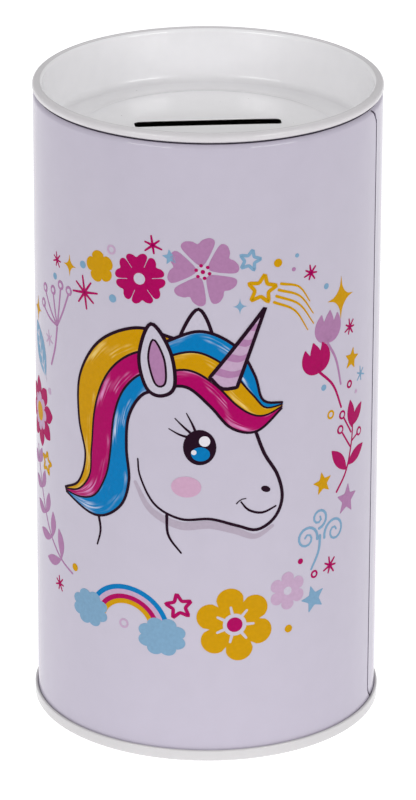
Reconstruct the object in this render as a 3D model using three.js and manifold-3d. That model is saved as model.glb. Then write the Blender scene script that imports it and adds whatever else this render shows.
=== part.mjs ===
// Tin money box: a rolled tinplate tube, a base end seamed to its bottom edge, and a push-in
// lid with a coin slot. Millimetres, +Z up, origin at the middle of the foot ring's underside,
// and the front of the box faces -Y.
import * as THREE from 'three';
import { mergeVertices } from 'three/addons/utils/BufferGeometryUtils.js';
import Module from 'manifold-3d';

const wasm = await Module();
wasm.setup();

// ---- driving dimensions ----

const overallHeight = 150;        // underside of the foot ring to the top of the lid's bead
const bodyRadius = 39.25;         // outside of the tube
const sheet = 0.22;               // tinplate thickness
const segments = 60;              // facets round the tube

// double seam at the foot
const seamClearance = 0.03;       // between the layers that are rolled together
const footHeight = 2.7;           // height of the ring that stands proud
const footInnerCorner = 0.2;      // bend inside the ring, on the sheet's middle line
const footOuterCorner = 0.5;      // bend outside the ring
const hookLift = 0.5;             // turned edge of the tube above the ring's underside
const hookEndGap = 0.45;          // end of each hooked edge to the bend of the fold it sits in
const baseRecess = 2.4;           // base panel above the ring's underside
const basePanelBend = 0.8;        // bend between the base panel and its wall

// lock seam up the tube
const seamAngle = 72.5;           // degrees from the front towards +X
const seamWidth = 3.2;            // folded rib inside the tube
const seamLayers = 3;             // extra layers of sheet in the rib
const grooveWidth = 0.4;          // line where the folded edges meet outside
const grooveDepth = 0.1;
const seamFootGap = 1.2;          // seam stops short of the foot ring
const seamCurlGap = 0.4;          // and of the mouth's bend at the top

// lid
const beadDiameter = 2.2;         // rolled edge
const beadWrap = 285;             // degrees that the sheet is rolled round
const beadOverhang = 0.15;        // bead beyond the tube
const panDepth = 12.6;            // top of the bead down to the flat ring of the pan
const panCorner = 1.6;            // bend between the wall and the flat ring
const panRing = 6.1;              // width of the flat ring
const panelCrown = 2.2;           // rise of the middle panel
const crownPower = 5;             // how flat the panel is in the middle, where the slot is
const slotLength = 33;
const slotWidth = 3.8;
const slotCorner = 1;
const slotTurn = 5;               // degrees that the lid sits turned in the tube

// lid in tube
const seatGap = 0.25;             // bead to the curl that it sits on
const plugClearance = 0.15;       // lid's wall to the curl's inside, all round
const mouthBend = 1.15;           // outer bend of the tube's curled mouth
const curlEdge = 0.6;             // straight end of the curl, pointing down inside

// ---- sheet metal ----

// An arc as a run of [radius, height] points, angles in degrees, first and last included.
function bend(centre, radius, from, to, steps) {
  return Array.from({ length: steps + 1 }, (_, i) => {
    const angle = THREE.MathUtils.degToRad(from + ((to - from) * i) / steps);
    return [centre[0] + radius * Math.cos(angle), centre[1] + radius * Math.sin(angle)];
  });
}

// Outline of a sheet whose middle follows the path, offset half its thickness each way along
// mitred normals. A point on the axis stays on the axis.
function sheetOutline(path) {
  const points = path.map(([radius, height]) => new THREE.Vector2(radius, height));
  const along = points.slice(1).map((point, i) => point.clone().sub(points[i]).normalize());
  const mitres = points.map((_, i) => {
    const before = along[Math.max(i - 1, 0)];
    const after = along[Math.min(i, along.length - 1)];
    const middle = before.clone().add(after).normalize();
    return new THREE.Vector2(-middle.y, middle.x).divideScalar(middle.dot(before));
  });
  const side = (half) => points.map((point, i) => {
    const moved = point.clone().addScaledVector(mitres[i], half);
    return point.x === 0 ? moved.setX(0) : moved;
  });
  return [...side(sheet / 2), ...side(-sheet / 2).reverse()];
}

// A round piece pressed from sheet. Its outline starts and ends on the axis, or closes on itself.
function turnedSheet(path) {
  const outline = sheetOutline(path);
  return lathe(outline[0].x === 0 ? outline : [...outline, outline[0].clone()]);
}

// Lathe about +Z with corners on the X and Y axes, faces pointing out whichever way the outline
// runs: an outline that runs clockwise is turned round.
function lathe(outline) {
  const clockwise = THREE.ShapeUtils.area(outline) < 0;
  const geometry = new THREE.LatheGeometry(clockwise ? outline.toReversed() : outline, segments);
  return geometry.rotateX(Math.PI / 2);
}

// ---- joining and cutting ----

function toSolid(geometry) {
  const bare = geometry.clone();
  bare.deleteAttribute('normal');
  bare.deleteAttribute('uv');
  const merged = mergeVertices(bare);
  return new wasm.Manifold(new wasm.Mesh({
    numProp: 3,
    vertProperties: new Float32Array(merged.attributes.position.array),
    triVerts: new Uint32Array(merged.index.array),
  }));
}

function toGeometry(solid) {
  const mesh = solid.getMesh();
  const geometry = new THREE.BufferGeometry();
  geometry.setAttribute('position', new THREE.BufferAttribute(mesh.vertProperties, 3));
  geometry.setIndex(new THREE.BufferAttribute(mesh.triVerts, 1));
  geometry.computeVertexNormals();
  return geometry;
}

// ---- places that the pieces share, all on the sheet's middle line ----

// The layers of the foot's double seam, from the inside out: base wall, tube, base hook, tube
// hook, and the base's outer wall.
const seamPitch = sheet + seamClearance;
const tube = bodyRadius - sheet / 2;
const baseWall = tube - seamPitch;
const baseHook = tube + seamPitch;
const tubeHook = baseHook + seamPitch;
const footWall = tubeHook + seamPitch;

// The fold at the bottom of the tube, and the base's fold that comes down over it.
const tubeFoldBend = (tubeHook - tube) / 2;
const tubeFold = [tube + tubeFoldBend, hookLift + sheet / 2 + tubeFoldBend];
const footFoldBend = (footWall - baseHook) / 2;
const footFold = [baseHook + footFoldBend, footHeight - sheet / 2 - footFoldBend];

// The lid's rolled bead, its wall, and the tube's mouth that it sits on: a wide bend outside and
// a tight one inside.
const beadBend = (beadDiameter - sheet) / 2;
const bead = [bodyRadius + beadOverhang - beadDiameter / 2, overallHeight - beadDiameter / 2];
const lidWall = bead[0] - beadBend;
const panelRadius = lidWall - panCorner - panRing;
const tubeTop = overallHeight - beadDiameter - seatGap;
const curlInner = lidWall + plugClearance + sheet;
const curlBend = tube - mouthBend - curlInner;
const mouth = [tube - mouthBend, tubeTop - sheet / 2 - mouthBend];
const curl = [mouth[0], tubeTop - sheet / 2 - curlBend];

// ---- tube ----

// The sheet runs from the edge hooked into the foot, round its fold, up the wall, and over the
// curled mouth at the top. The lock seam is a folded rib inside and a fine groove outside.
function bodyShell() {
  const rolled = toSolid(turnedSheet([
    [tubeHook, footFold[1] + footFoldBend - hookEndGap],
    ...bend(tubeFold, tubeFoldBend, 0, -180, 4),
    ...bend(mouth, mouthBend, 0, 90, 4),
    ...bend(curl, curlBend, 90, 180, 3).slice(1),
    [curlInner, curl[1] - curlEdge],
  ]));
  const inside = bodyRadius - sheet;
  const rib = seamBar(inside - seamLayers * sheet, inside + sheet / 2, seamWidth);
  const groove = seamBar(bodyRadius - grooveDepth, bodyRadius + grooveDepth, grooveWidth);
  return toGeometry(rolled.add(rib).subtract(groove));
}

// An upright bar at the lock seam, between two radii.
function seamBar(inner, outer, width) {
  const low = footHeight + seamFootGap;
  const high = mouth[1] - seamCurlGap;
  const bar = new THREE.BoxGeometry(outer - inner, width, high - low);
  bar.translate((inner + outer) / 2, 0, (low + high) / 2);
  bar.rotateZ(THREE.MathUtils.degToRad(seamAngle - 90));
  return toSolid(bar);
}

// ---- base end ----

// The sheet runs from the middle of the panel, down inside the tube, round under its edge, up
// outside it, and back down between the tube and its turned edge.
function baseEnd() {
  const panel = baseRecess + sheet / 2;
  const corner = (radius, roundness) => [radius, sheet / 2 + roundness];
  return turnedSheet([
    [0, panel],
    ...bend([baseWall - basePanelBend, panel - basePanelBend], basePanelBend, 90, 0, 3),
    ...bend(corner(baseWall + footInnerCorner, footInnerCorner), footInnerCorner, 180, 270, 2),
    ...bend(corner(footWall - footOuterCorner, footOuterCorner), footOuterCorner, -90, 0, 3),
    ...bend(footFold, footFoldBend, 0, 180, 4),
    [baseHook, tubeFold[1] - tubeFoldBend + hookEndGap],
  ]);
}

// ---- lid ----

// Height of the pan's sheet: a flat ring, and inside it a panel that is raised and nearly flat
// in the middle, and rounds down to the ring at its edge.
function panHeight(radius) {
  const share = Math.min(radius / panelRadius, 1);
  return overallHeight - panDepth - sheet / 2 + panelCrown * (1 - share ** crownPower);
}

// The slot is punched straight through the panel.
function lidPiece() {
  const panel = Array.from({ length: 6 }, (_, i) => {
    const radius = panelRadius * Math.sqrt(i / 5);
    return [radius, panHeight(radius)];
  });
  const pressed = toSolid(turnedSheet([
    ...panel,
    ...bend([lidWall - panCorner, panHeight(panelRadius) + panCorner], panCorner, -90, 0, 3),
    ...bend(bead, beadBend, 180, 180 - beadWrap, 10),
  ]));
  return toGeometry(pressed.subtract(slotHole(panHeight(panelRadius), overallHeight)));
}

// An upright prism with the slot's outline: straight sides and rounded corners.
function slotHole(low, high) {
  const quarter = Math.PI / 2;
  const x = slotLength / 2 - slotCorner;
  const y = slotWidth / 2 - slotCorner;
  const outline = new THREE.Shape();
  outline.absarc(x, -y, slotCorner, -quarter, 0, false);
  outline.absarc(x, y, slotCorner, 0, quarter, false);
  outline.absarc(-x, y, slotCorner, quarter, 2 * quarter, false);
  outline.absarc(-x, -y, slotCorner, 2 * quarter, 3 * quarter, false);
  const prism = new THREE.ExtrudeGeometry(outline, {
    depth: high - low,
    bevelEnabled: false,
    curveSegments: 4,
  });
  prism.translate(0, 0, low);
  prism.rotateZ(THREE.MathUtils.degToRad(slotTurn));
  return toSolid(prism);
}

// ---- finishes ----

const finish = {
  printedTube: { color: 0xcbc5d6, roughness: 0.22, metalness: 0.0 },
  whiteEnamel: { color: 0xe6e5e6, roughness: 0.3, metalness: 0.0 },
};

function piece(name, geometry, look) {
  const mesh = new THREE.Mesh(geometry, new THREE.MeshStandardMaterial(look));
  mesh.name = name;
  return mesh;
}

const tin = new THREE.Group();
tin.add(piece('body_shell', bodyShell(), finish.printedTube));
tin.add(piece('base_end', baseEnd(), finish.whiteEnamel));

const lid = new THREE.Group();
lid.add(piece('lid', lidPiece(), finish.whiteEnamel));

const moneyBox = new THREE.Group();
moneyBox.add(tin, lid);

export default moneyBox;
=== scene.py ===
"""Tin money box: a printed tinplate tube, a base end seamed to it, and a push-in lid with a slot.

Metres, +Z up. The front of the printed picture faces -Y, and the camera looks at it from there.
"""

import math

import bpy
import numpy as np
from mathutils import Matrix, Vector


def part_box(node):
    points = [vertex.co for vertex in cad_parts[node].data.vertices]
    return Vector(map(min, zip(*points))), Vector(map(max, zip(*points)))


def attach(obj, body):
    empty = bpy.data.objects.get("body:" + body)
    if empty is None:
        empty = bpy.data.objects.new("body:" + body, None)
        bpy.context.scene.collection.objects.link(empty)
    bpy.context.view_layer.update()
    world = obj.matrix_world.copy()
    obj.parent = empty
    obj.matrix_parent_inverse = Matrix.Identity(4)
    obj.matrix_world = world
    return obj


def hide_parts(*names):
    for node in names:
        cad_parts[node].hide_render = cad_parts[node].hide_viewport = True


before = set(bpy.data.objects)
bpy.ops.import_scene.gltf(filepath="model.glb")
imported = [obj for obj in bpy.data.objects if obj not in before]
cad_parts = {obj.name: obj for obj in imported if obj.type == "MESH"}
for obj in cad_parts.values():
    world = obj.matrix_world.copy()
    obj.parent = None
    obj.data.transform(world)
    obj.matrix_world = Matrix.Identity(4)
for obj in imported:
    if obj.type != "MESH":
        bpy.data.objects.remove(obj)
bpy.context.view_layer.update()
MM = 0.001

# ---------------------------------------------------------------- camera
# A long lens over a metre away, looking down on the tin by 22 degrees, with a slight roll.


def place_camera(distance, height, down, aim, roll, lens, shift):
    """A camera in front of the tin: `distance` from a point `height` up its axis and `down`
    degrees above it, aimed `aim` degrees below level and rolled anticlockwise by `roll`."""
    down, aim, roll = (math.radians(turn) for turn in (down, aim, roll))
    right = Vector((1, 0, 0))
    up = Vector((0, math.sin(aim), math.cos(aim)))
    rolled_right = right * math.cos(roll) + up * math.sin(roll)
    rolled_up = up * math.cos(roll) - right * math.sin(roll)
    axes = Matrix((rolled_right, rolled_up, rolled_right.cross(rolled_up))).transposed()
    place = Vector((0, -distance * math.cos(down), height + distance * math.sin(down)))
    data = bpy.data.cameras.new("camera")
    data.sensor_width = 36
    data.lens = lens
    data.shift_x = shift
    camera = bpy.data.objects.new("camera", data)
    camera.matrix_world = Matrix.Translation(place) @ axes.to_4x4()
    bpy.context.scene.collection.objects.link(camera)
    bpy.context.scene.camera = camera


place_camera(
    distance=1.1516, height=0.0751, down=21.66, aim=21.78, roll=0.18, lens=226.3, shift=0.0012
)

# ---------------------------------------------------------------- tube
# One sheet of tinplate, printed and varnished flat, then rolled round and hooked to itself in a
# lock seam. Its top edge is curled inwards, with a wide bend outside that catches the light as a
# shoulder, and its bottom edge is folded out and up inside the foot's double seam.

tube_low, tube_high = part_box("body_shell")
foot_low, foot_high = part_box("base_end")
lid_low, lid_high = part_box("lid")

SHEET = 0.22 * MM
SEAM_PITCH = SHEET + 0.03 * MM  # from one layer of the double seam to the next
BEAD = 2.2 * MM
LID_WALL = lid_high.x - BEAD + SHEET / 2  # middle of the lid's sheet, as are the radii below
CURL_INNER = LID_WALL + SHEET + 0.15 * MM
CURL_EDGE = 0.6 * MM
MOUTH_BEND = 1.15 * MM
UNDER_BEAD = 0.17 * MM  # height of the mouth's top that is given the dark plum of painted shade
TUBE_RADIUS = lid_high.x - 0.15 * MM
TUBE_MIDDLE = TUBE_RADIUS - SHEET / 2
TUBE_TOP = tube_high.z
HOOK_LIFT = 0.5 * MM
HOOK_END_GAP = 0.45 * MM
SEAM_ANGLE = math.radians(72.5)
GROUND = "#BAB4C3"
GROUND_COAT = 0.75  # weight of the varnish over the bare lilac


def bend(centre, radius, start, stop, steps):
    """An arc as (radius, height) points, from one angle to another in degrees."""
    angle = np.radians(np.linspace(start, stop, steps + 1))
    return np.stack([centre[0] + radius * np.cos(angle), centre[1] + radius * np.sin(angle)], 1)


def sheet_outline(path):
    """Outline of a sheet whose middle follows the path: each point moved half the thickness
    along its mitred normal, then the same on the other side, backwards. Anticlockwise."""
    step = np.diff(path, axis=0)
    step /= np.linalg.norm(step, axis=1)[:, None]
    before = np.vstack([step[:1], step])
    after = np.vstack([step, step[-1:]])
    middle = before + after
    middle /= np.linalg.norm(middle, axis=1)[:, None]
    mitre = np.stack([-middle[:, 1], middle[:, 0]], 1) / (middle * before).sum(1)[:, None]
    outline = np.concatenate([path + mitre * SHEET / 2, (path - mitre * SHEET / 2)[::-1]])
    x, y = outline.T
    area = (x * np.roll(y, -1) - np.roll(x, -1) * y).sum()
    return outline if area > 0 else outline[::-1]


def grid_quads(rows, columns, ring_rows=True, ring_columns=True):
    """Corner numbers of the quads between neighbouring points of a grid, joined round in either
    direction where that is a ring."""
    i = np.arange(rows if ring_rows else rows - 1)[:, None]
    j = np.arange(columns if ring_columns else columns - 1)[None]
    i2, j2 = (i + 1) % rows, (j + 1) % columns
    corners = (i * columns + j, i * columns + j2, i2 * columns + j2, i2 * columns + j)
    return np.stack(corners, -1).reshape(-1, 4)


def new_piece(name, points, faces, materials, face_material, body):
    """A smooth mesh object with sharp folds kept, made of the points and faces."""
    mesh = bpy.data.meshes.new(name)
    mesh.from_pydata(points.tolist(), [], faces)
    for material in materials:
        mesh.materials.append(material)
    mesh.polygons.foreach_set("material_index", np.asarray(face_material, np.int32))
    mesh.shade_smooth()
    mesh.set_sharp_from_angle(angle=math.radians(35))
    piece = bpy.data.objects.new(name, mesh)
    bpy.context.scene.collection.objects.link(piece)
    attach(piece, body)
    return piece


def linear(hex_colour):
    """An sRGB hex colour as linear RGBA."""
    srgb = np.array([int(hex_colour[k : k + 2], 16) / 255 for k in (1, 3, 5)])
    rgb = np.where(srgb <= 0.04045, srgb / 12.92, ((srgb + 0.055) / 1.055) ** 2.4)
    return (*rgb.tolist(), 1.0)


def add_node(material, kind, settings=(), inputs=()):
    """Adds one shader node: `settings` are its properties, `inputs` are values or links."""
    tree = material.node_tree
    node = tree.nodes.new("ShaderNode" + kind)
    for key, value in dict(settings).items():
        setattr(node, key, value)
    for key, value in dict(inputs).items():
        if isinstance(value, bpy.types.NodeSocket):
            tree.links.new(value, node.inputs[key])
        else:
            node.inputs[key].default_value = value
    return node


def new_material(name):
    """An empty node material with its output, and the object's own coordinates."""
    material = bpy.data.materials.new(name)
    material.use_nodes = True
    material.node_tree.nodes.clear()
    place = add_node(material, "TexCoord").outputs["Object"]
    return material, place


def finish_material(material, shader):
    """Joins the shader to the material's output."""
    output = add_node(material, "OutputMaterial", inputs={"Surface": shader.outputs[0]})
    output.is_active_output = True
    return material


def mottled(material, place, colour, cell, spread):
    """A colour that drifts lighter and darker by `spread` over cells of `cell` metres."""
    noise = add_node(material, "TexNoise", inputs={"Vector": place, "Scale": 1 / cell, "Detail": 4})
    ramp = add_node(material, "ValToRGB", inputs={"Fac": noise.outputs["Fac"]})
    base = np.array(linear(colour)[:3])
    darker, lighter = ramp.color_ramp.elements
    for stop, position, share in ((darker, 0.3, 1 - spread), (lighter, 0.7, 1 + spread)):
        stop.position = position
        stop.color = (*np.clip(base * share, 0, 1).tolist(), 1.0)
    return ramp.outputs["Color"]


def varnish_waves(material, place, cell, height):
    """The gentle unevenness of a stoved varnish on rolled sheet, as a bump."""
    noise = add_node(material, "TexNoise", inputs={"Vector": place, "Scale": 1 / cell, "Detail": 2})
    return add_node(
        material, "Bump",
        inputs={"Height": noise.outputs["Fac"], "Distance": height, "Strength": 1.0},
    ).outputs["Normal"]


def varnished_print(name, colour, spread=0.04, cell=0.8 * MM, coat=0.15):
    """Lithographic ink or coating on tinplate under a stoved gloss varnish: matt colour below,
    and a hard clear coat that gives even, slightly wavy reflections. The real varnish is one even
    coat; it is weaker over the inks here to keep the floor's reflection from greying them."""
    material, place = new_material(name)
    waves = varnish_waves(material, place, 9 * MM, 0.02 * MM)
    shader = add_node(
        material, "BsdfPrincipled",
        inputs={
            "Base Color": mottled(material, place, colour, cell, spread),
            "Roughness": 0.5,
            "Specular IOR Level": 0.0,
            "Coat Weight": coat,
            "Coat Roughness": 0.05,
            "Coat IOR": 1.5,
            "Normal": waves,
            "Coat Normal": waves,
        },
    )
    return finish_material(material, shader)


def bare_tinplate():
    """The unprinted inside of the sheet: rolled steel with a thin bright coat of tin, whose fine
    rolling grain runs along the sheet."""
    material, place = new_material("bare_tinplate")
    along = add_node(
        material, "Mapping", inputs={"Vector": place, "Scale": (1.0, 1.0, 12.0)}
    ).outputs["Vector"]
    grain = add_node(
        material, "TexNoise", inputs={"Vector": along, "Scale": 1 / (1.5 * MM), "Detail": 5}
    )
    rough = add_node(
        material, "MapRange",
        inputs={"Value": grain.outputs["Fac"], "To Min": 0.26, "To Max": 0.42},
    )
    shader = add_node(
        material, "BsdfPrincipled",
        inputs={
            "Base Color": mottled(material, along, "#C9C7C2", 2.5 * MM, 0.06),
            "Metallic": 1.0,
            "Roughness": rough.outputs["Result"],
        },
    )
    return finish_material(material, shader)


def painted_gap_shade():
    """A dull dark plum, painted shade on the floor of the seam's groove and the top of the mouth
    under the bead. It is chosen so that both lines read as dark as on the real tin, where they
    are mostly deep shadow; the real colour of the sheet there isn't known."""
    material, place = new_material("painted_gap_shade")
    shader = add_node(
        material, "BsdfPrincipled",
        inputs={
            "Base Color": mottled(material, place, "#4A4252", 1.2 * MM, 0.35),
            "Roughness": 0.7,
            "Specular IOR Level": 0.2,
        },
    )
    return finish_material(material, shader)


def tube_outline():
    """The tube's middle line from the edge hooked in the foot, round its fold, up the wall, over
    the mouth's wide outer bend and tight inner one, and down to its edge, given its thickness."""
    fold_bend = SEAM_PITCH
    fold = (TUBE_MIDDLE + fold_bend, HOOK_LIFT + SHEET / 2 + fold_bend)
    mouth = (TUBE_MIDDLE - MOUTH_BEND, TUBE_TOP - SHEET / 2 - MOUTH_BEND)
    curl_bend = mouth[0] - CURL_INNER
    curl = (mouth[0], TUBE_TOP - SHEET / 2 - curl_bend)
    heights = np.concatenate([
        np.linspace(fold[1], 8 * MM, 18)[1:],
        np.linspace(8 * MM, TUBE_TOP - 8 * MM, 44)[1:],
        np.linspace(TUBE_TOP - 8 * MM, mouth[1], 22)[1:-1],
    ])
    wall = np.stack([np.full_like(heights, TUBE_MIDDLE), heights], 1)
    path = np.concatenate([
        [(TUBE_MIDDLE + 2 * SEAM_PITCH, foot_high.z - SHEET / 2 - HOOK_END_GAP)],
        bend(fold, fold_bend, 0, -180, 10),
        wall,
        bend(mouth, MOUTH_BEND, 0, 90, 14),
        bend(curl, curl_bend, 90, 180, 8)[1:],
        [(CURL_INNER, curl[1] - CURL_EDGE)],
    ])
    return sheet_outline(path)


def seam_line(height):
    """Place of the lock seam's groove along the sheet: straight up the tube, and swept aside at
    both ends, where the sheet's corners are notched so that the edges can be curled."""
    top = np.clip((height - (TUBE_TOP - 5 * MM)) / (5 * MM), 0, 1)
    bottom = np.clip((6 * MM - height) / (3.3 * MM), 0, 1)
    return SEAM_ANGLE * TUBE_RADIUS - 3.4 * MM * top**2 + 2.2 * MM * bottom**2


def seam_relief(along, height):
    """Depth of the sheet's outside near the lock seam: a narrow groove where the folded edges
    meet, a swollen edge in front of it, and a faint hollow over the fold behind it."""
    across = along - seam_line(height)
    groove = 0.4 * MM * np.exp(-((across / (0.3 * MM)) ** 4))
    swelling = 0.08 * MM * np.exp(-(((across + 0.65 * MM) / (0.3 * MM)) ** 2))
    hollow = 0.05 * MM * np.exp(-(((across - 1.7 * MM) / (1.1 * MM)) ** 2))
    return groove - swelling + hollow


def seam_rib(along, height):
    """How far the folded layers stand into the tube, behind the groove."""
    across = np.abs(along - seam_line(height))
    foot_end = np.clip((height - 4.4 * MM) / (0.5 * MM), 0, 1)
    mouth_end = np.clip((TUBE_TOP - 2.2 * MM - height) / (0.5 * MM), 0, 1)
    return 3 * SHEET * foot_end * mouth_end * np.clip((1.7 * MM - across) / (0.3 * MM), 0, 1)


def turned(outline, angles):
    """The outline carried round the tin's axis: angle 0 is the front, and it grows towards +X."""
    r, z = outline[:, :1], outline[:, 1:]
    ones = np.ones_like(angles)
    return np.stack([r * np.sin(angles), -r * np.cos(angles), z * ones], -1)


def roll_tube():
    """The tube, with columns crowded at the seam so that its groove is crisp. Its outside is
    lowered there by the seam's relief, and its inside stands in by the folded rib."""
    fine = SEAM_ANGLE + np.arange(-5 * MM, 3.4 * MM, 0.1 * MM) / TUBE_RADIUS
    coarse = np.linspace(0, 2 * np.pi, 200, endpoint=False)
    coarse = coarse[(coarse < fine[0] - 0.01) | (coarse > fine[-1] + 0.01)]
    angles = np.sort(np.concatenate([coarse, fine]))
    outline = tube_outline()
    grid = turned(outline, angles)
    wall_and_bend = np.abs(outline[:, 0] - TUBE_RADIUS + 0.2 * MM) < 0.21 * MM
    outside = wall_and_bend & (outline[:, 1] > foot_high.z - 1 * MM)
    along = angles[None] * TUBE_RADIUS
    relief = seam_relief(along, outline[:, 1:]) * outside[:, None]
    wall = np.abs(outline[:, 0] - TUBE_MIDDLE + SHEET / 2) < 0.01 * MM
    relief += seam_rib(along, outline[:, 1:]) * wall[:, None]
    grid[..., :2] *= 1 - (relief / TUBE_RADIUS)[..., None]
    rows, columns = grid.shape[:2]
    inside = np.arange(rows)[:, None] >= rows // 2
    across = along - seam_line(outline[:, 1:])
    # Faces in the seam's groove and at the mouth's top under the bead get the dark plum of painted
    # shade.
    in_groove = (np.abs(across + np.roll(across, -1, 1)) < 0.72 * MM) & outside[:, None]
    under_bead = outline[:, 1:] > TUBE_TOP - UNDER_BEAD
    face_material = np.where(inside, 1, np.where(in_groove | under_bead, 2, 0)).ravel()
    piece = new_piece(
        "tinplate_tube", grid.reshape(-1, 3), grid_quads(rows, columns).tolist(),
        [varnished_print("lilac_print", GROUND, 0.012, 5 * MM, GROUND_COAT), bare_tinplate(),
         painted_gap_shade()],
        face_material, "tin",
    )
    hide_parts("body_shell")


roll_tube()

# ---------------------------------------------------------------- base end
# A pressed end of white enamelled tinplate. Its panel is sunk inside the tube, and its edge is
# rolled round the tube's edge into a double seam of five layers, which is the foot ring.


def white_enamel(name, colour, coat=0.8):
    """Stoved white enamel on tinplate: hard gloss over a very slightly uneven white, with a few
    grains of dust baked into it. The lid, its bead and the base are one enamel on the real tin;
    their three whites here are chosen for their tones under this light, and the darker white on
    the bead is painted shade."""
    material, place = new_material(name)
    waves = varnish_waves(material, place, 5 * MM, 0.012 * MM)
    white = mottled(material, place, colour, 3 * MM, 0.012)
    cells = add_node(material, "TexVoronoi", inputs={"Vector": place, "Scale": 1 / (3.2 * MM)})
    grain = add_node(
        material, "MapRange",
        inputs={"Value": cells.outputs["Distance"], "From Min": 0.03, "From Max": 0.055,
                "To Min": 1.0, "To Max": 0.0},
    )
    chance = add_node(material, "SeparateColor", inputs={"Color": cells.outputs["Color"]})
    rare = add_node(
        material, "Math", {"operation": "GREATER_THAN"}, {0: chance.outputs["Red"], 1: 0.86}
    )
    dust = add_node(
        material, "Math", {"operation": "MULTIPLY"},
        {0: grain.outputs["Result"], 1: rare.outputs[0]},
    )
    dusted = add_node(
        material, "Mix", {"data_type": "RGBA"}, {0: dust.outputs[0], 6: white, 7: linear("#8E8A88")}
    )
    shader = add_node(
        material, "BsdfPrincipled",
        inputs={
            "Base Color": dusted.outputs[2],
            "Roughness": 0.4,
            "Coat Weight": coat,
            "Coat Roughness": 0.1,
            "Coat IOR": 1.5,
            "Normal": waves,
            "Coat Normal": waves,
        },
    )
    return finish_material(material, shader)


def base_outline():
    """The base's middle line from the middle of its panel, down inside the tube, round under its
    edge, up outside, and hooked back down between the tube and its turned edge."""
    panel = foot_low.z + 2.4 * MM + SHEET / 2
    wall, hook, outer = (TUBE_MIDDLE + k * SEAM_PITCH for k in (-1, 1, 3))
    panel_bend, inner_bend, outer_bend = 0.8 * MM, 0.2 * MM, 0.5 * MM
    fold = (hook + SEAM_PITCH, foot_high.z - SHEET / 2 - SEAM_PITCH)
    under = foot_low.z + SHEET / 2
    radii = np.linspace(0, wall - panel_bend, 12)[:-1]
    path = np.concatenate([
        np.stack([radii, np.full_like(radii, panel)], 1),
        bend((wall - panel_bend, panel - panel_bend), panel_bend, 90, 0, 10),
        bend((wall + inner_bend, under + inner_bend), inner_bend, 180, 270, 6),
        bend((outer - outer_bend, under + outer_bend), outer_bend, -90, 0, 12),
        bend(fold, SEAM_PITCH, 0, 180, 14),
        [(hook, foot_low.z + HOOK_LIFT + SHEET / 2 + HOOK_END_GAP)],
    ])
    return sheet_outline(path)


def press_base():
    """The base end turned round the axis, its outline's two ends closed to points on the axis."""
    outline = base_outline()
    on_axis = np.flatnonzero(outline[:, 0] < SHEET)
    start = on_axis[np.argmin(outline[on_axis, 1])]
    outline = np.roll(outline, -start, 0)
    columns = 240
    grid = turned(outline[1:-1], np.linspace(0, 2 * np.pi, columns, endpoint=False))
    rows = len(grid)
    poles = np.array([[0, 0, outline[0, 1]], [0, 0, outline[-1, 1]]])
    last_row, first, last = (rows - 1) * columns, rows * columns, rows * columns + 1
    j = np.arange(columns)
    j2 = (j + 1) % columns
    below = np.stack([np.full(columns, first), j2, j], 1)
    above = np.stack([last_row + j, last_row + j2, np.full(columns, last)], 1)
    faces = grid_quads(rows, columns, ring_rows=False).tolist() + below.tolist() + above.tolist()
    piece = new_piece(
        "base_pressing", np.concatenate([grid.reshape(-1, 3), poles]), faces,
        [white_enamel("white_enamel_on_base", "#C9C7C8")], np.zeros(len(faces)), "tin",
    )
    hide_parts("base_end")


press_base()

# ---------------------------------------------------------------- lid
# A plug lid pressed from white enamelled tinplate: an edge rolled into a bead, a straight wall,
# a flat ring at the bottom of the pan, and a raised panel that is nearly flat round the punched
# coin slot and rounds down to the ring. It is only pushed in.

PAN_FLOOR = lid_high.z - 12.6 * MM  # top of the flat ring
PAN_CORNER = 1.6 * MM
PANEL_RADIUS = LID_WALL - PAN_CORNER - 6.1 * MM
PANEL_CROWN = 2.2 * MM
SLOT_LENGTH = 33 * MM
SLOT_WIDTH = 3.8 * MM
SLOT_CORNER = 1 * MM
SLOT_TURN = math.radians(5)
BEAD_SHADE_SPAN = 0.8 * BEAD  # how much of the bead, from outside, has the darker white of painted shade


def slot_and_circle(corner=9, side=96):
    """Matching points on the slot's edge and on a circle of radius 1: the slot's rounded corners
    and straight sides, even steps on the circle. Each half is the other turned half round."""
    x, y = SLOT_LENGTH / 2 - SLOT_CORNER, SLOT_WIDTH / 2 - SLOT_CORNER
    front_corner = bend((x, -y), SLOT_CORNER, -90, 0, corner)
    back_corner = bend((x, y), SLOT_CORNER, 0, 90, corner)
    along = np.linspace(x, -x, side + 2)[1:-1]
    back = np.stack([along, np.full(side, SLOT_WIDTH / 2)], 1)
    slot = np.concatenate([front_corner, back_corner, back, -front_corner, -back_corner, -back])
    around = (np.arange(len(slot)) - corner - 0.5) * 2 * np.pi / len(slot)
    return slot, np.stack([np.cos(around), np.sin(around)], 1)


def lid_outline():
    """The lid's middle line as (distance out, height over the panel's sheet): from the slot's
    edge, which the punch has drawn down a little, across the panel, and on to the bead."""
    panel = np.linspace(0.8 * MM, PANEL_RADIUS, 26)
    top = lid_high.z - PAN_FLOOR + SHEET / 2
    bead = (lid_high.x - BEAD / 2, top - BEAD / 2)
    path = np.concatenate([
        [(0, -0.16 * MM), (0.12 * MM, -0.06 * MM), (0.4 * MM, -0.01 * MM)],
        np.stack([panel, np.zeros_like(panel)], 1),
        [(PANEL_RADIUS + 2 * MM, 0)],
        bend((LID_WALL - PAN_CORNER, PAN_CORNER), PAN_CORNER, -90, 0, 12),
        np.stack([np.full(5, LID_WALL), np.linspace(PAN_CORNER, bead[1], 7)[1:-1]], 1),
        bend(bead, (BEAD - SHEET) / 2, 180, -105, 28),
    ])
    return sheet_outline(path)


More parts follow.
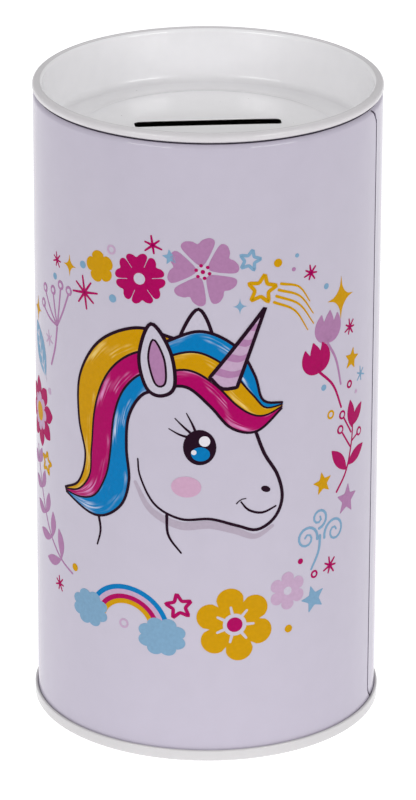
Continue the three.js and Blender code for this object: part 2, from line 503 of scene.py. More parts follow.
def cut_steel():
    """The bare steel core at the punched edge of the slot: dull and a little streaked. It is made
    darker than bare steel is, as painted shade, so that it merges with the dark inside the slot.
    """
    material, place = new_material("cut_steel_edge")
    shader = add_node(
        material, "BsdfPrincipled",
        inputs={
            "Base Color": mottled(material, place, "#3B3634", 0.3 * MM, 0.2),
            "Metallic": 1.0,
            "Roughness": 0.6,
        },
    )
    return finish_material(material, shader)


def press_lid():
    """The lid's outline carried round a path that is the slot at the middle and turns into a
    circle at the panel's edge; the panel's height falls as the fifth power of the radius."""
    out, height = lid_outline().T
    share = np.clip(out / PANEL_RADIUS, 0, 1)[:, None, None]
    slot, circle = slot_and_circle()
    flat = slot * (1 - share) + circle * np.maximum(out, PANEL_RADIUS)[:, None, None] * share
    radius = np.linalg.norm(flat, axis=-1)
    crown = PANEL_CROWN * (1 - np.minimum(radius / PANEL_RADIUS, 1) ** 5)
    z = PAN_FLOOR - SHEET / 2 + crown + height[:, None]
    turn = np.array([[math.cos(SLOT_TURN), math.sin(SLOT_TURN)],
                     [-math.sin(SLOT_TURN), math.cos(SLOT_TURN)]])
    grid = np.concatenate([flat @ turn, z[..., None]], -1)
    rows, columns = grid.shape[:2]
    # The outer part of the bead gets a darker copy of the lid's white enamel, as painted shade.
    on_bead = np.where(out > lid_high.x - BEAD_SHADE_SPAN, 2, 0)
    finish = np.repeat(np.where(np.arange(rows) == rows - 1, 1, on_bead), columns)
    piece = new_piece(
        "lid_pressing", grid.reshape(-1, 3), grid_quads(rows, columns).tolist(),
        [white_enamel("white_enamel_on_lid", "#F1F0F2"), cut_steel(),
         white_enamel("painted_shade_white_on_bead", "#D0CDD0", coat=0.4)], finish, "lid",
    )
    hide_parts("lid")


press_lid()

# ---------------------------------------------------------------- print: blooms
# The picture is printed on the flat sheet, so every shape is drawn flat, in millimetres: right
# from the middle of the front, and up from the table. Each is a very thin skin of ink, rolled
# round the tube with the sheet. The sheet carries the picture twice, so the back has it too.

INK_SUNK = 0.06 * MM
INK_LIFT = 0.03 * MM
INK_STEP = 0.012 * MM  # an ink printed over another one stands this much further out
PICTURE_PITCH = math.pi * TUBE_RADIUS / MM


def roll(flat, height):
    """Points of the flat sheet rolled round the tube, at a height over its outside."""
    angle = flat[..., 0] * MM / TUBE_RADIUS
    radius = TUBE_RADIUS + height
    return np.stack([radius * np.sin(angle), -radius * np.cos(angle), flat[..., 1] * MM], -1)


def film(grid, form, height, start):
    """One closed skin of ink: the grid's points at a height, and again below the tube's surface.
    The form is "fill" (the last row is one point), "loop" (columns joined) or "strip"."""
    if form == "strip":
        across, along = grid[-1, 1] - grid[0, 1], grid[0, 2] - grid[0, 1]
        grid = grid[::-1] if along[0] * across[1] < along[1] * across[0] else grid
    if form == "fill":
        grid, centre = grid[:-1], grid[-1, :1]
    rows, columns = grid.shape[:2]
    points = np.concatenate([roll(grid[::-1], -INK_SUNK), roll(grid, height)]).reshape(-1, 3)
    quads = grid_quads(2 * rows, columns, form != "fill", form != "strip")
    last_row = (2 * rows - 1) * columns
    if form == "fill":
        poles = [roll(centre, -INK_SUNK), roll(centre, height)]
        points = np.concatenate([points, *poles])
        j = np.arange(columns)
        j2 = (j + 1) % columns
        pole = np.full(columns, last_row + columns)
        ends = [np.stack([pole, j2, j], 1), np.stack([last_row + j, last_row + j2, pole + 1], 1)]
    elif form == "strip":
        edge = np.arange(2 * rows) * columns
        ends = [edge[None], (edge + columns - 1)[None, ::-1]]
    else:
        ends = []
    faces = quads.tolist() + [face for end in ends for face in end.tolist()]
    return points, [[corner + start for corner in face] for face in faces]


def print_piece(name, films):
    """A piece of the picture: all its skins of ink, on the front and again on the back, with one
    material for each ink."""
    inks = sorted({ink for grid, form, ink, layer in films})
    points, faces, slots = [], [], []
    count = 0
    for pitch in (0, PICTURE_PITCH):
        for grid, form, ink, layer in films:
            skin, around = film(grid + [pitch, 0], form, INK_LIFT + layer * INK_STEP, count)
            count += len(skin)
            points.append(skin)
            faces += around
            slots += [inks.index(ink)] * len(around)
    materials = [INKS[ink] for ink in inks]
    piece = new_piece(name, np.concatenate(points), faces, materials, slots, "tin")
    return piece


def place(points, spot=(0, 0), size=1.0, tilt=0.0):
    """Flat points scaled, tilted anticlockwise in degrees, and moved."""
    a = math.radians(tilt)
    turn = np.array([[math.cos(a), math.sin(a)], [-math.sin(a), math.cos(a)]])
    return np.asarray(points, float) * size @ turn + np.asarray(spot, float)


def fill(outline, ink, layer=1, centre=None):
    """Ink inside an outline, as rings drawn in towards a centre."""
    centre = outline.mean(0) if centre is None else np.asarray(centre, float)
    reach = np.linalg.norm(outline - centre, axis=1).max()
    share = np.linspace(1, 0, max(3, math.ceil(reach / 1.2) + 1))[:, None, None]
    return [(centre + (outline - centre) * share, "fill", ink, layer)]


def circle(spot, radius, count=24, flat=1.0, tilt=0.0):
    """An outline of a circle, or of an ellipse `flat` times as high as it is wide."""
    a = np.linspace(0, 2 * np.pi, count, endpoint=False)
    return place(np.stack([radius * np.cos(a), radius * flat * np.sin(a)], 1), spot, 1, tilt)


def petals(spot, reach, count, depth=0.3, tilt=0.0, power=0.55):
    """A scalloped outline: the radius swings between 1 - depth and 1 in rounded lobes."""
    a = np.linspace(0, 2 * np.pi, count * 14, endpoint=False)
    r = 1 - depth + depth * np.abs(np.cos(count * a / 2)) ** power
    return place(np.stack([-r * np.sin(a), r * np.cos(a)], 1), spot, reach, tilt)


def run_along(curve):
    """The distance run along a curve at each of its points."""
    return np.concatenate([[0], np.cumsum(np.linalg.norm(np.diff(curve, axis=0), axis=1))])


def points_at(distances, curve):
    """The points of a curve at distances along it."""
    run = run_along(curve)
    return np.stack([np.interp(distances, run, curve[:, k]) for k in (0, 1)], 1)


def normals(tangent):
    """Unit normals from tangents of any length."""
    tangent = tangent / np.linalg.norm(tangent, axis=1)[:, None]
    return np.stack([-tangent[:, 1], tangent[:, 0]], 1)


def band(path, reach, rows=3):
    """Copies of a path spread evenly from minus the reach to plus the reach."""
    return path + reach * np.linspace(-1, 1, rows)[:, None, None]


def even(curve, count, closed=False):
    """A curve resampled at equal steps; a closed one returns to its first point unseen."""
    length = run_along(curve)[-1]
    at = np.linspace(0, length, count + 1)[:-1] if closed else np.linspace(0, length, count)
    return points_at(at, curve)


def spline(points, count=48, closed=False):
    """A Catmull-Rom curve through points: on each stretch a cubic whose slope at either end is
    half the step between that end's neighbours."""
    p = np.asarray(points, float)
    if closed:
        p = np.vstack([p[-1:], p, p[:2]])
    else:
        p = np.vstack([2 * p[:1] - p[1:2], p, 2 * p[-1:] - p[-2:-1]])
    stretches = len(p) - 3
    t = np.linspace(0, stretches, stretches * 24 + 1)
    k = np.minimum(t.astype(int), stretches - 1)
    u = (t - k)[:, None]
    a, b, c, d = p[k], p[k + 1], p[k + 2], p[k + 3]
    square = u**2 * (a - 2.5 * b + 2 * c - d / 2)
    cube = u**3 * (1.5 * (b - c) + (d - a) / 2)
    return even(b + u * (c - a) / 2 + square + cube, count, closed)


def outline_stroke(outline, width, ink, layer=1):
    """A line of ink along a closed outline."""
    normal = normals(np.roll(outline, -1, 0) - np.roll(outline, 1, 0))
    return [(band(outline, normal * width / 2), "loop", ink, layer)]


def stroke(path, width, ink, layer=1, ends=(1.0, 1.0), belly=0.0):
    """A line of ink along a path with round ends: its width runs between the two shares of
    `width` in `ends`, and is fuller in the middle by `belly`."""
    length = run_along(path)[-1]
    cap = 1 - np.cos(np.radians([0, 22.5, 45, 67.5, 90]))
    first = cap * min(width * ends[0], length) / 2
    last = length - cap[::-1] * min(width * ends[1], length) / 2
    middle = np.linspace(first[-1], last[0], max(2, math.ceil((last[0] - first[-1]) / 0.9) + 1))
    at = np.concatenate([first, middle[1:-1], last])
    path = points_at(at, path)
    share = at / length
    half = width / 2 * (ends[0] + (ends[1] - ends[0]) * share + belly * np.sin(np.pi * share))
    round_end = np.sin(np.radians([8, 22.5, 45, 67.5, 90]))
    half[:5] *= round_end
    half[-5:] *= round_end[::-1]
    return [(band(path, normals(np.gradient(path, axis=0)) * half[:, None]), "strip", ink, layer)]


def blade(start, end, width, ink, layer=1, bow=0.0, full=0.5):
    """A leaf or a petal: a bowed middle line, its width swelling as a sine, widest at `full`."""
    start, end = np.asarray(start, float), np.asarray(end, float)
    t = np.linspace(0, 1, 15)[:, None]
    side = np.array([-(end - start)[1], (end - start)[0]])
    path = start + (end - start) * t + side * bow * 4 * t * (1 - t)
    shifted = np.clip(t[:, 0], 0.015, 0.985) ** (math.log(0.5) / math.log(full))
    half = width / 2 * np.sin(np.pi * shifted) ** 0.8
    reach = normals(np.gradient(path, axis=0)) * half[:, None]
    return [(band(path, reach, 5), "strip", ink, layer)]


def open_flower(spot, reach, count, ink, tilt, plump):
    """Separate petals round a bare middle."""
    films = []
    for k in range(count):
        start, end = place([[0, 0.16], [0, 1]], spot, reach, tilt + 360 / count * k)
        films += blade(start, end, reach * plump, ink, full=0.62)
    return films


def notched_flower(spot, reach, count, ink, tilt, wide):
    """Broad petals round a bare middle, each with a notch in its outer edge."""
    half = [
        (0.08, 0.22), (wide * 0.62, 0.5), (wide, 0.84), (wide * 0.75, 0.99), (0.14, 0.96),
        (0.0, 0.86),
    ]
    petal = spline(half + [(-x, z) for x, z in half[-2::-1]], 40, True)
    films = []
    for k in range(count):
        outline = place(petal, spot, reach, tilt + 360 / count * k)
        films += fill(outline, ink, 1, place([0, 0.62], spot, reach, tilt + 360 / count * k))
    return films


def blooms():
    """A wreath's flowers: two yellow, one magenta, one mauve, one pale, and a large daisy."""
    films = fill(petals((-25.5, 116.5), 3.8, 5, 0.28, 12), "yellow")
    spot = (-15.3, 115.6)
    films += notched_flower(spot, 5.8, 6, "magenta", 8, 0.44)
    films += fill(circle(spot, 3.0), "magenta", 2) + fill(circle(spot, 1.35), "ground", 3)
    spot = (-1.0, 118.3)
    films += notched_flower(spot, 7.6, 5, "mauve", 10, 0.5)
    films += fill(circle(spot, 1.5), "ground", 2) + fill(circle(spot, 0.5), "magenta", 3)
    for k in range(6):
        films += fill(circle(place([0, 1.5], spot, 1, 60 * k + 15), 0.42, 12), "magenta", 3)
    spot = (6.4, 33.6)
    films += fill(petals(spot, 9.0, 6, 0.36, 10), "yellow") + fill(circle(spot, 2.7), "ground", 2)
    for k in range(7):
        ray = place([[0, 2.4], [0, 4.6]], spot, 1, 12 + 360 / 7 * k)
        films += stroke(np.linspace(*ray, 6), 0.75, "ground", 2, ends=(1.0, 0.7))
    films += fill(circle(spot, 1.8), "magenta", 3)
    spot = (19.0, 40.2)
    films += fill(petals(spot, 4.6, 6, 0.36), "pink") + fill(circle(spot, 1.0), "ground", 2)
    spot = (-51.0, 74.0)
    films += open_flower(spot, 8.2, 8, "magenta", 10, 0.5)
    films += fill(petals(spot, 4.6, 8, 0.3), "pink", 2) + fill(circle(spot, 2.3), "yellow", 3)
    return films


INKS = {
    "yellow": varnished_print("yellow_ink", "#C08E00", 0.05),
    "magenta": varnished_print("magenta_ink", "#A10055", 0.06),
    "blue": varnished_print("blue_ink", "#0070AC", 0.06),
    "sky": varnished_print("sky_blue_ink", "#769AB6", 0.05),
    "mauve": varnished_print("mauve_ink", "#A4769E", 0.05),
    "pink": varnished_print("pale_pink_ink", "#B79BB6", 0.04),
    "plum": varnished_print("plum_line_ink", "#1F071A", 0.1),
    "ground": varnished_print("lilac_coat_showing", GROUND, 0.04, 0.5 * MM, GROUND_COAT),
    "shadow": varnished_print("lavender_shade_ink", "#A99EAD", 0.03),
    "blush": varnished_print("blush_ink", "#C09AB4", 0.03),
    "white": varnished_print("white_ink", "#D6D3DA", 0.02),
}
print_piece("print_blooms", blooms())

# ---------------------------------------------------------------- print: stars and bursts
# Filled and outlined stars, a star with four tails, glints, bursts of short rays, dots and rings.


def star(spot, reach, tilt=0.0, inner=0.45, soft=0.14):
    """Outline of a star: ten corners, at the reach and at `inner` of it in turn, each cut by a
    short parabola between points a share `soft` of the sides away."""
    a = np.radians(np.arange(10) * 36 + 90)
    r = np.where(np.arange(10) % 2 == 0, 1.0, inner)
    corner = np.stack([r * np.cos(a), r * np.sin(a)], 1)[:, None]
    before, after = np.roll(corner, 1, 0), np.roll(corner, -1, 0)
    u = np.linspace(0, 1, 4)[None, :, None]
    first, last = corner + (before - corner) * soft, corner + (after - corner) * soft
    curve = first * (1 - u) ** 2 + corner * 2 * u * (1 - u) + last * u**2
    points = np.concatenate([curve, (corner + after) / 2], 1).reshape(-1, 2)
    return place(points, spot, reach, tilt)


def glint(spot, reach, ink):
    """A four-pointed glint: a superellipse with an exponent under one."""
    a = np.linspace(0, 2 * np.pi, 48, endpoint=False)
    r = (np.abs(np.cos(a)) ** 0.55 + np.abs(np.sin(a)) ** 0.55) ** (-1 / 0.55)
    return fill(place(np.stack([r * np.cos(a), 1.15 * r * np.sin(a)], 1), spot, reach), ink)


def burst(spot, reach, count, width, ink):
    """Short rays from a middle, every other one a little shorter."""
    films = []
    for k in range(count):
        tip = place([0, reach * (1.0 if k % 2 == 0 else 0.86)], spot, 1, 9 + 360 / count * k)
        films += stroke(np.linspace(spot, tip, 8), width, ink, ends=(1.0, 0.6))
    return films


def shooting_star():
    """An outlined star with four bowed tails falling away to the right."""
    films = outline_stroke(even(star((12.2, 113.6), 3.6, -10), 60, True), 0.9, "yellow")
    for k, reach in enumerate((9.0, 10.8, 11.6, 10.4)):
        start = np.array([16.4 - 0.55 * k, 114.4 - 1.35 * k])
        end = start + [reach * 0.86, -reach * 0.62 - k * 0.6]
        path = spline([start, (start + end) / 2 + [0.9, 1.3], end], 16)
        films += stroke(path, 0.75, "yellow", ends=(0.9, 0.35))
    return films


def stars():
    """Filled stars, outlined stars and glints, after the shooting star."""
    films = shooting_star()
    for x, z, reach, tilt, ink in (
        (-8.2, 121.4, 1.9, 10, "sky"), (38.0, 91.5, 2.8, -12, "yellow"),
        (28.4, 64.2, 2.9, 8, "yellow"), (36.8, 57.8, 3.9, -6, "mauve"),
        (26.0, 36.6, 3.5, 14, "sky"),
    ):
        films += fill(star((x, z), reach, tilt), ink)
    for x, z, reach, tilt, width, ink in (
        (9.4, 120.6, 2.6, -14, 0.75, "sky"), (-6.2, 38.0, 3.2, 10, 0.85, "magenta"),
        (-46.4, 63.0, 2.8, -8, 0.85, "yellow"),
    ):
        films += outline_stroke(even(star((x, z), reach, tilt), 60, True), width, ink)
    for x, z, reach, ink in (
        (-35.0, 114.4, 2.2, "yellow"), (7.2, 110.0, 1.6, "sky"), (33.6, 107.4, 4.4, "yellow"),
        (-52.0, 98.6, 2.6, "yellow"),
    ):
        films += glint((x, z), reach, ink)
    return films


def specks():
    """Bursts of rays, then dots, then small rings."""
    films = []
    for x, z, reach, count, width, ink in (
        (-40.0, 114.2, 1.9, 7, 0.5, "magenta"), (-30.0, 109.4, 4.0, 8, 0.7, "magenta"),
        (-12.2, 123.8, 2.4, 6, 0.65, "magenta"), (24.3, 115.5, 2.0, 7, 0.6, "magenta"),
        (37.0, 99.4, 2.1, 7, 0.6, "magenta"), (42.0, 86.6, 2.0, 6, 0.5, "sky"),
        (31.0, 43.4, 2.3, 7, 0.65, "magenta"), (-40.0, 35.6, 2.0, 7, 0.55, "magenta"),
        (-44.3, 94.0, 2.0, 6, 0.5, "pink"),
    ):
        films += burst((x, z), reach, count, width, ink)
    for x, z, radius, ink in (
        (-30.5, 115.8, 0.9, "sky"), (-22.0, 109.8, 0.95, "sky"), (-41.0, 110.0, 0.8, "sky"),
        (15.9, 119.3, 1.0, "yellow"), (20.6, 120.3, 0.5, "sky"), (19.8, 117.2, 0.5, "mauve"),
        (28.8, 111.3, 0.7, "sky"), (28.4, 87.3, 0.75, "sky"), (40.0, 83.0, 0.5, "pink"),
        (22.3, 46.7, 0.7, "magenta"), (19.3, 30.8, 0.95, "yellow"), (-33.8, 41.8, 0.95, "yellow"),
        (-44.3, 81.2, 0.8, "pink"),
    ):
        films += fill(circle((x, z), radius, 16), ink)
    for x, z, radius, ink in (
        (-22.3, 121.2, 0.9, "pink"), (37.2, 85.6, 0.75, "magenta"), (30.7, 80.2, 0.85, "yellow"),
        (26.2, 42.6, 0.75, "magenta"), (-19.4, 32.0, 0.95, "pink"),
    ):
        films += outline_stroke(circle((x, z), radius), 0.5, ink)
    return films


print_piece("print_stars", stars())
print_piece("print_specks", specks())

# ---------------------------------------------------------------- print: plants
# Two tulips, a twig with leaves and berries, a plant of three curls, a leafy branch, a veined
# leaf, and an umbel of small round heads.


def tulip(spot, tilt, ink, stem):
    """Three petals from one point, and a stem from there through the given points."""
    ends = [[0, -0.75], [-0.55, 0.75], [0.55, 0.75], [0, 0.95]]
    base, left, right, tip = place(ends, spot, 4.4, tilt)
    films = blade(base, left, 3.5, ink, bow=0.16, full=0.45)
    films += blade(base, right, 3.5, ink, bow=-0.16, full=0.45)
    films += blade(base, tip, 3.5, ink, full=0.45)
    return films + stroke(spline([base, *stem], 20), 0.75, ink, ends=(0.9, 0.7))


def berry_twig():
    """A bowed twig with four leaves, and three berries on stalks."""
    path = spline([(32.8, 60.6), (36.6, 65.4), (38.6, 73.0), (38.4, 79.4)], 24)
    films = stroke(path, 0.75, "magenta", ends=(0.8, 0.5))
    for start, end, width in (
        ((36.4, 65.2), (31.2, 71.2), 3.0), ((36.9, 66.2), (43.6, 69.2), 3.0),
        ((38.4, 74.8), (37.6, 81.6), 2.8), ((38.5, 75.2), (42.6, 79.6), 2.6),
    ):
        films += blade(start, end, width, "magenta")
    for start, berry in (
        ((37.9, 70.2), (34.0, 75.6)), ((38.2, 71.4), (41.6, 72.8)), ((38.2, 73.6), (34.6, 79.0)),
    ):
        films += stroke(np.linspace(start, berry, 8), 0.45, "magenta")
        films += fill(circle(berry, 1.1, 16), "magenta", 2)
        films += fill(circle(berry, 0.6, 12), "ground", 3)
    return films


def curling_plant():
    """A short stem and three curls, each a spiral whose radius shrinks evenly with its turn."""
    stem = spline([(25.2, 43.8), (27.4, 48.0), (27.8, 52.0)], 16)
    films = stroke(stem, 0.75, "sky", ends=(0.7, 1.0))
    share = np.linspace(0, 1, 60)
    for x, z, reach, start, sweep in (
        (24.0, 51.8, 3.1, -20, 560), (27.4, 56.0, 2.6, -95, 520), (32.4, 51.6, 3.4, 200, -560),
    ):
        a = np.radians(start + sweep * share)
        r = reach * (1 - 0.86 * share)
        curl = np.stack([x + r * np.cos(a), z + r * np.sin(a)], 1)
        films += stroke(curl, 0.7, "sky", ends=(1.0, 0.7))
    return films


def leafy_branch():
    """A bowed branch with five pairs of leaves that get shorter towards its end."""
    path = spline([(-34.6, 39.8), (-40.0, 42.4), (-45.4, 47.6), (-50.0, 56.0), (-53.6, 65.0)], 40)
    films = stroke(path, 0.65, "mauve", ends=(0.7, 0.7))
    for k in range(5):
        root = path[6 + 7 * k]
        ahead = path[7 + 7 * k] - root
        for side in (-1, 1):
            a = math.atan2(ahead[1], ahead[0]) + side * math.radians(48)
            tip = root + 7.2 * (1 - 0.09 * k) * np.array([math.cos(a), math.sin(a)])
            films += blade(root, tip, 2.5, "mauve", bow=0.07 * side, full=0.55)
    return films


def veined_leaf():
    """One broad leaf with its middle rib and four pairs of veins left bare."""
    films = blade((-46.6, 84.2), (-53.4, 95.2), 6.4, "sky")
    films += stroke(np.linspace((-46.0, 83.0), (-52.4, 93.4), 10), 0.4, "ground", 2)
    for k in range(4):
        root = np.array([-47.6 - 1.25 * k, 85.9 + 2.05 * k])
        for side in (-1, 1):
            vein = root + place([1.9, 0], tilt=121.6 + side * 44)
            films += stroke(np.linspace(root, vein, 5), 0.3, "ground", 2)
    return films


def umbel():
    """Five round heads on bowed stalks from one joint."""
    joint = np.array([-40.2, 98.4])
    films = stroke(spline([(-43.2, 88.0), (-41.2, 93.0), joint], 16), 0.6, "mauve")
    for head in ((-47.4, 101.6), (-46.2, 105.6), (-42.0, 106.4), (-38.6, 108.6), (-35.4, 108.2)):
        head = np.array(head)
        bow = spline([joint, (joint + head) / 2 - [0, 0.9], head - [0, 0.6]], 12)
        films += stroke(bow, 0.5, "mauve")
        films += fill(circle(head, 1.15, 16), "mauve", 2)
        films += fill(circle(head, 0.55, 12), "ground", 3)
    return films


def plants():
    """The two tulips, and all the other plants."""
    films = tulip((29.6, 101.2), -6, "mauve", [(32.2, 93.0), (34.0, 86.4)])
    films += tulip((26.2, 94.6), 14, "magenta", [(31.4, 87.0), (34.3, 80.8)])
    return films + berry_twig() + curling_plant() + leafy_branch() + veined_leaf() + umbel()


print_piece("print_plants", plants())

# ---------------------------------------------------------------- print: rainbow
# Four bands between two small clouds.


def rainbow():
    """Four arcs one inside the other, and a scalloped cloud over each end."""
    films = []
    a = np.radians(np.linspace(168, 14, 40))
    for k, ink in enumerate(("blue", "pink", "magenta", "yellow")):
        r = 10.0 - 1.15 * k
        films += stroke(np.stack([-18.8 + r * np.cos(a), 31.0 + r * np.sin(a)], 1), 1.15, ink)
    for x, z, reach in ((-29.0, 33.4, 5.4), (-10.2, 30.2, 5.8)):
        lobes = petals((0, 0), reach, 8, 0.17, 22, 0.8) * [1.0, 0.82]
        films += fill(lobes + [x, z], "sky", 2, (x, z))
    return films


print_piece("print_rainbow", rainbow())

# ---------------------------------------------------------------- print: unicorn
# The head of a unicorn in profile, facing right, drawn in dark lines on the bare coat: neck,
# cheek, muzzle and brow, one large eye, two ears, a three-coloured mane and forelock, and a
# horn with slanting bands.


def profile():
    """Neck, outline of the face with a soft shade under the jaw, mouth and nostril."""
    films = []
    for path in (
        [(-26.4, 58.0), (-25.6, 53.6), (-26.6, 49.6)], [(-9.0, 60.4), (-8.6, 55.2), (-5.6, 51.0)],
    ):
        films += stroke(spline(path, 16), 0.8, "plum", 2, ends=(0.9, 0.5))
    jaw = spline([
        (15.4, 57.0), (11.0, 54.8), (6.4, 56.6), (0.6, 58.2), (-6.0, 57.8), (-12.8, 61.0),
        (-16.6, 67.4),
    ])
    films += stroke(jaw, 2.4, "shadow", 1, ends=(0.3, 0.3), belly=0.5)
    face = spline([
        (8.0, 87.0), (10.6, 81.0), (13.0, 74.6), (16.2, 69.0), (17.4, 63.4), (15.6, 58.8),
        (11.4, 56.4), (6.8, 57.8), (0.8, 59.6), (-5.8, 59.4), (-11.8, 62.4), (-15.2, 68.6),
        (-15.8, 73.0),
    ], 90)
    films += stroke(face, 0.9, "plum", 3, ends=(0.9, 0.4), belly=0.15)
    mouth = spline([(16.0, 61.6), (12.6, 60.4), (9.4, 61.4), (7.6, 63.6)], 20)
    films += stroke(mouth, 0.7, "plum", 3, ends=(0.5, 0.5), belly=0.3)
    dimple = spline([(6.6, 63.0), (7.6, 64.0), (8.9, 64.2)], 10)
    films += stroke(dimple, 0.55, "plum", 3, ends=(0.5, 0.4))
    films += fill(circle((13.4, 66.0), 1.15, 20, 0.62, -24), "plum", 3)
    return films + fill(circle((-4.6, 67.2), 3.4, 24, 0.74), "blush", 2)


def eye():
    """A dark round eye with a blue lower part and two lights, and three lashes."""
    films = fill(circle((-1.6, 76.8), 3.7, 32, 1.14), "plum", 3)
    films += fill(circle((-1.4, 75.2), 2.1, 24, 0.8), "blue", 4)
    films += fill(circle((-0.5, 78.3), 1.25), "white", 5)
    films += fill(circle((-2.9, 75.6), 0.6, 16), "white", 5)
    for start, end in (
        ((-4.2, 79.2), (-8.6, 81.0)), ((-3.6, 80.2), (-7.2, 83.6)), ((-2.6, 80.7), (-4.6, 85.0)),
    ):
        middle = np.add(start, end) / 2 + [0.3, -0.4]
        films += stroke(spline([start, middle, end], 8), 0.6, "plum", 3, ends=(1.0, 0.35))
    return films


def ears():
    """The far ear behind the forelock, and the near ear in front of it with its mauve inside."""
    far = spline([(-6.4, 97.0), (-6.0, 103.0), (-2.0, 109.6), (1.2, 103.4), (1.4, 97.0)], 48, True)
    near = spline([
        (-13.8, 90.4), (-15.4, 97.6), (-12.6, 105.4), (-8.2, 99.4), (-7.2, 91.2), (-10.4, 88.6),
    ], 56, True)
    inside = spline([
        (-12.0, 92.2), (-13.2, 97.4), (-12.0, 101.8), (-9.6, 97.6), (-9.2, 92.2), (-10.6, 90.8),
    ], 40, True)
    films = fill(far, "ground", 2, (-2.4, 102.0)) + outline_stroke(far, 0.8, "plum", 3)
    films += fill(near, "ground", 8, (-11.2, 96.0)) + outline_stroke(near, 0.85, "plum", 9)
    return films + fill(inside, "mauve", 9, (-11.2, 96.0)) + outline_stroke(inside, 0.5, "plum", 10)


def between(first, second, shares, ink, layer, rows=5):
    """The strip between two curves, from one share of the way across to another."""
    v = np.linspace(*shares, rows)[:, None, None]
    return [(first * (1 - v) + second * v, "strip", ink, layer)]


def horn():
    """A pale cone with a round foot, four darker slanting bands, and a dark outline."""
    left, right, tip = np.array([0.6, 93.6]), np.array([6.6, 91.0]), np.array([13.0, 109.4])
    sides = [np.linspace(foot, tip, 24)[:-1] for foot in (left, right)]
    films = between(*sides, (0, 1), "pink", 8)
    films += fill(circle((3.6, 92.3), 3.27, 24, 0.42, -23), "pink", 8)
    for k in range(4):
        edges = []
        for low in (0.05 + 0.21 * k, 0.14 + 0.21 * k):
            a = left + (tip - left) * low
            b = right + (tip - right) * (low + 0.1)
            edges.append(spline([a, (a + b) / 2 + [0.35, -0.75], b], 10))
        films += between(*edges, (0, 1), "mauve", 9, 3)
    edge = np.vstack([np.linspace(left, tip, 20), np.linspace(tip, right, 20)[1:],
                      spline([right, (3.2, 90.9), left], 8)[1:]])
    return films + outline_stroke(even(edge, 90, True), 0.85, "plum", 10)


def lock(outer, inner, inks, layer):
    """A lock of hair between two curves: three coloured strips and four dark lines."""
    films = []
    for k, ink in enumerate(inks):
        films += between(outer, inner, (k / 3, (k + 1) / 3), ink, layer)
    for k, width in enumerate((0.95, 0.7, 0.7, 0.95)):
        path = outer * (1 - k / 3) + inner * k / 3
        films += stroke(path, width, "plum", layer + 1, ends=(0.8, 0.6))
    return films


def mane():
    """A long lock down the neck and a forelock that sweeps to the right over the brow."""
    outer = spline([
        (-7.0, 102.4), (-16.0, 104.0), (-25.6, 99.0), (-31.6, 89.4), (-32.0, 79.0), (-30.0, 70.6),
        (-32.2, 63.6), (-37.4, 60.4),
    ], 80)
    inner = spline([
        (-9.6, 90.0), (-14.6, 88.4), (-18.0, 82.6), (-18.6, 75.0), (-18.0, 67.0), (-20.4, 60.4),
        (-27.0, 56.8), (-37.0, 59.6),
    ], 80)
    upper = spline([
        (-10.5, 101.0), (-1.5, 104.4), (6.4, 100.6), (10.6, 93.6), (12.6, 87.4), (17.4, 86.2),
    ], 60)
    lower = spline([
        (-9.4, 91.0), (-4.2, 91.0), (0.8, 86.6), (5.4, 81.4), (11.2, 80.2), (17.2, 85.0),
    ], 60)
    films = lock(outer, inner, ("hair_yellow", "hair_magenta", "hair_blue"), 4)
    return films + lock(upper, lower, ("hair_blue", "hair_yellow", "hair_magenta"), 6)


def add_brush_map(piece, films):
    """A map named "brush" for streaks: millimetres along a strip, and the share across it."""
    maps = []
    for grid, form, ink, layer in films * 2:
        rows, columns = grid.shape[:2]
        run = run_along(grid[rows // 2])
        across = np.concatenate([np.arange(rows)[::-1], np.arange(rows)]) / (rows - 1)
        maps.append(np.stack(np.meshgrid(run, across), -1).reshape(-1, 2))
    mesh = piece.data
    corner = np.empty(len(mesh.loops), np.int32)
    mesh.loops.foreach_get("vertex_index", corner)
    brush = mesh.uv_layers.new(name="brush")
    brush.uv.foreach_set("vector", np.concatenate(maps)[corner].ravel())


def drawn_noise(material, strip, stretch, low, high):
    """Noise stretched along the hair, cut between two levels to a share from 0 to 1."""
    vector = add_node(material, "VectorMath", {"operation": "MULTIPLY"}, {0: strip, 1: stretch})
    noise = add_node(
        material, "TexNoise", inputs={"Vector": vector.outputs[0], "Scale": 1.0, "Detail": 2}
    )
    share = add_node(
        material, "MapRange", {"interpolation_type": "SMOOTHSTEP"},
        {"Value": noise.outputs["Fac"], "From Min": low, "From Max": high},
    )
    return share.outputs[0]


def brushed_print(name, colour, light):
    """Ink with pale patches broken into streaks along the hair, under the same gloss varnish."""
    material = varnished_print(name, colour, 0.05)
    tree = material.node_tree
    shader = next(node for node in tree.nodes if node.type == "BSDF_PRINCIPLED")
    plain = shader.inputs["Base Color"].links[0].from_socket
    strip = add_node(material, "UVMap", {"uv_map": "brush"}).outputs["UV"]
    patches = drawn_noise(material, strip, (0.075, 1.1, 1.0), 0.49, 0.62)
    streaks = drawn_noise(material, strip, (0.11, 9.0, 1.0), 0.38, 0.62)
    amount = add_node(material, "Math", {"operation": "MULTIPLY"}, {0: patches, 1: streaks})
    brushed = add_node(
        material, "Mix", {"data_type": "RGBA"}, {0: amount.outputs[0], 6: plain, 7: linear(light)}
    )
    tree.links.new(brushed.outputs[2], shader.inputs["Base Color"])
    return material


INKS["hair_yellow"] = brushed_print("yellow_hair_ink", "#BF8C00", "#DDBD6A")
INKS["hair_magenta"] = brushed_print("magenta_hair_ink", "#A2005A", "#CF86B6")
INKS["hair_blue"] = brushed_print("blue_hair_ink", "#0072AE", "#B9C3D8")
print_piece("print_unicorn_head", profile() + eye() + ears())
print_piece("print_unicorn_horn", horn())
hair = mane()
add_brush_map(print_piece("print_unicorn_mane", hair), hair)

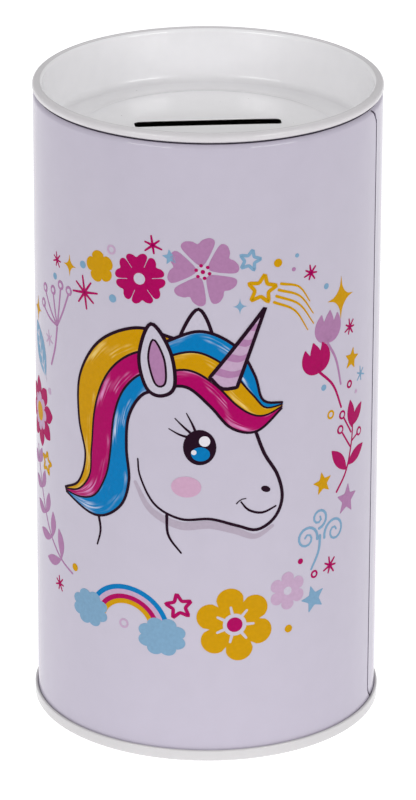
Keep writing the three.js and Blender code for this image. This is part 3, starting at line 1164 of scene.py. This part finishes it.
# ---------------------------------------------------------------- stage and light
# A wide pale floor that also glows a little behind the front of the tin, so that the backdrop
# is white; a soft white surround; a big soft light behind and above; two soft panels in front.


def lay_floor():
    """A flat square, dull and nearly white."""
    side = 6.0
    corners = np.array([[-side, -side, 0], [side, -side, 0], [side, side, 0], [-side, side, 0]])
    mesh = bpy.data.meshes.new("floor")
    mesh.from_pydata(corners.tolist(), [], [[0, 1, 2, 3]])
    material, place = new_material("lit_white_table")
    across = add_node(material, "SeparateXYZ", inputs={"Vector": place})
    glow = add_node(
        material, "MapRange", {"interpolation_type": "SMOOTHSTEP"},
        {"Value": across.outputs["Y"], "From Min": -0.24, "From Max": -0.09, "To Max": 0.5},
    )
    shader = add_node(
        material, "BsdfPrincipled",
        inputs={
            "Base Color": mottled(material, place, "#F4F4F5", 0.4, 0.006),
            "Roughness": 0.9,
            "Emission Color": (1.0, 1.0, 1.0, 1.0),
            "Emission Strength": glow.outputs[0],
        },
    )
    mesh.materials.append(finish_material(material, shader))
    floor = bpy.data.objects.new("floor", mesh)
    bpy.context.scene.collection.objects.link(floor)


def hang_light(name, place, target, size, power):
    """A square soft light of the given size at a place, facing a point."""
    data = bpy.data.lights.new(name, "AREA")
    data.shape = "RECTANGLE"
    data.size, data.size_y = size
    data.energy = power
    light = bpy.data.objects.new(name, data)
    facing = (Vector(target) - Vector(place)).to_track_quat("-Z", "Y")
    light.matrix_world = Matrix.Translation(place) @ facing.to_matrix().to_4x4()
    bpy.context.scene.collection.objects.link(light)


lay_floor()
world = bpy.data.worlds.new("surround")
world.use_nodes = True
background = world.node_tree.nodes["Background"]
background.inputs["Color"].default_value = (1.0, 1.0, 1.0, 1.0)
background.inputs["Strength"].default_value = 0.54
bpy.context.scene.world = world
bpy.context.scene.view_settings.view_transform = "Standard"
hang_light("back_light", (0.0, 1.0, 1.3), (0, 0, 0.05), (1.2, 0.8), 3.2)
hang_light("left_panel", (-0.85, -1.1, 0.5), (0, 0, 0.1), (0.75, 0.3), 5.4)
hang_light("right_panel", (0.95, -1.0, 0.5), (0, 0, 0.1), (0.75, 0.3), 5.4)
